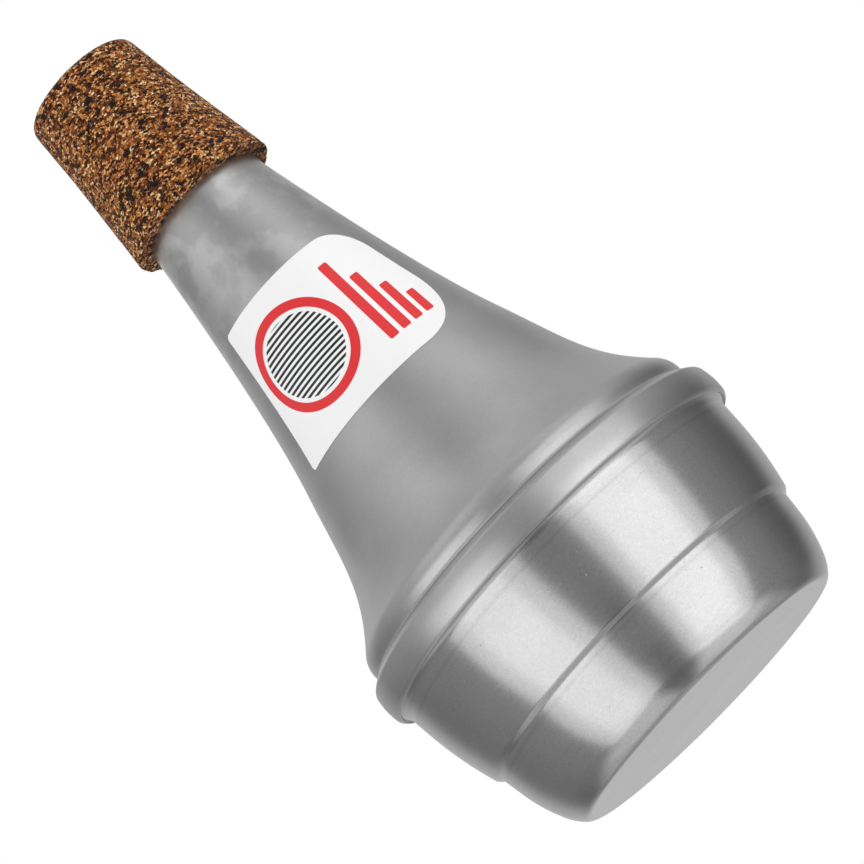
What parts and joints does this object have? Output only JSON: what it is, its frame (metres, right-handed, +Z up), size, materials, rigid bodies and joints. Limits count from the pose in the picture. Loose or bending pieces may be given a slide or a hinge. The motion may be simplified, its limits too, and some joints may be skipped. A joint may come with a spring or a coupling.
{
  "type": "trumpet practice mute",
  "caption": "Practice mute of spun aluminium: a flared cone on a stepped cup, joined by a rolled bead, with a tapered cork collar, a felt lining and an inner air tube.",
  "frame": {"origin": "centre of the flat base's underside", "axes": "+Z up the mute's axis from the base to the neck; the label faces -Y"},
  "size_m": [0.103, 0.103, 0.202],
  "materials": {
    "spun_aluminium": "satin, with fine rings left by spinning",
    "drawn_aluminium": "drawn, smooth",
    "cork": "pressed cork grains, bare",
    "label_paper": "printed, half gloss",
    "black_rubber": "matt",
    "grey_felt": "pressed felt"
  },
  "bodies": {
    "root": {"base_cup": "spun_aluminium", "cone_shell": "spun_aluminium", "cork_collar": "cork", "label": "label_paper", "air_tube": "drawn_aluminium", "mouth_bush": "black_rubber", "neck_felt": "grey_felt", "cone_felt": "grey_felt", "cup_felt": "grey_felt", "base_felt": "grey_felt", "seam_gasket": "black_rubber"}
  },
  "joints": []
}
